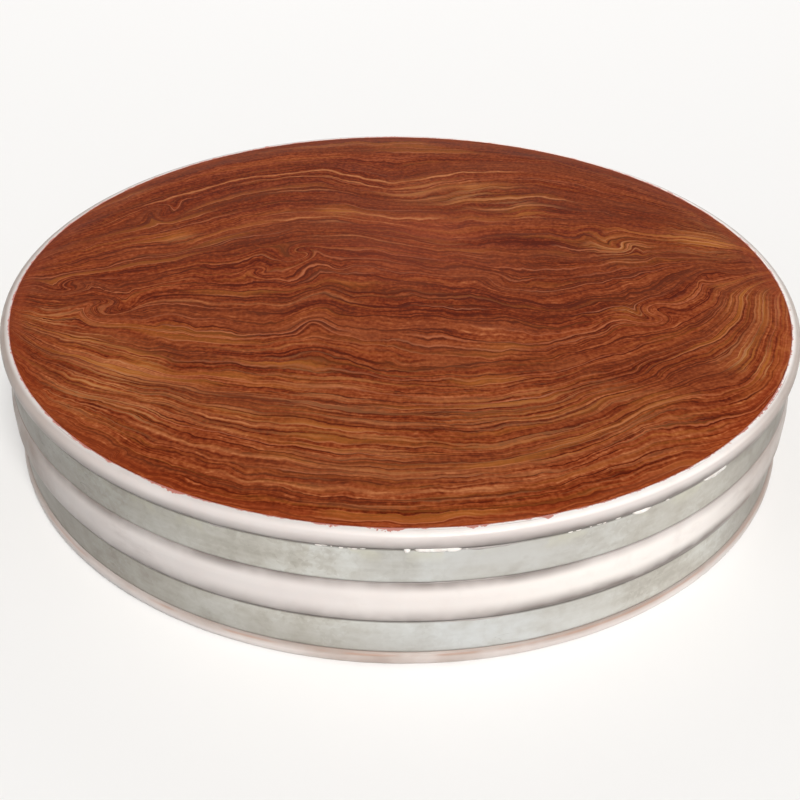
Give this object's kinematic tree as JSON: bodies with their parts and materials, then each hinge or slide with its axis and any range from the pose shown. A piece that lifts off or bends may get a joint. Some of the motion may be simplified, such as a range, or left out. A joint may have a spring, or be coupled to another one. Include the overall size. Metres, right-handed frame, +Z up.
{
  "type": "round chopping block",
  "caption": "Round solid wooden chopping block with a white plastic edge collar held by riveted galvanised steel hoops.",
  "frame": {"origin": "centre of the block's underside, where it rests on the worktop", "axes": "+Z is up along the block's axis and out of the chopping face; -Y is the front that the picture shows, with both hoop laps at the back, towards +Y"},
  "size_m": [0.4, 0.4, 0.07],
  "materials": {
    "core_wood": "oiled and sanded, red-brown with dark and golden veins",
    "collar_plastic": "waxy white plastic, slightly soiled, sanded flat at both faces",
    "hoop_steel": "dull galvanised sheet with a faint spangle",
    "rivet_steel": "satin"
  },
  "bodies": {
    "root": {"wood_core": "core_wood", "edge_collar": "collar_plastic", "upper_hoop": "hoop_steel", "lower_hoop": "hoop_steel", "lap_rivets": "rivet_steel"}
  },
  "joints": []
}
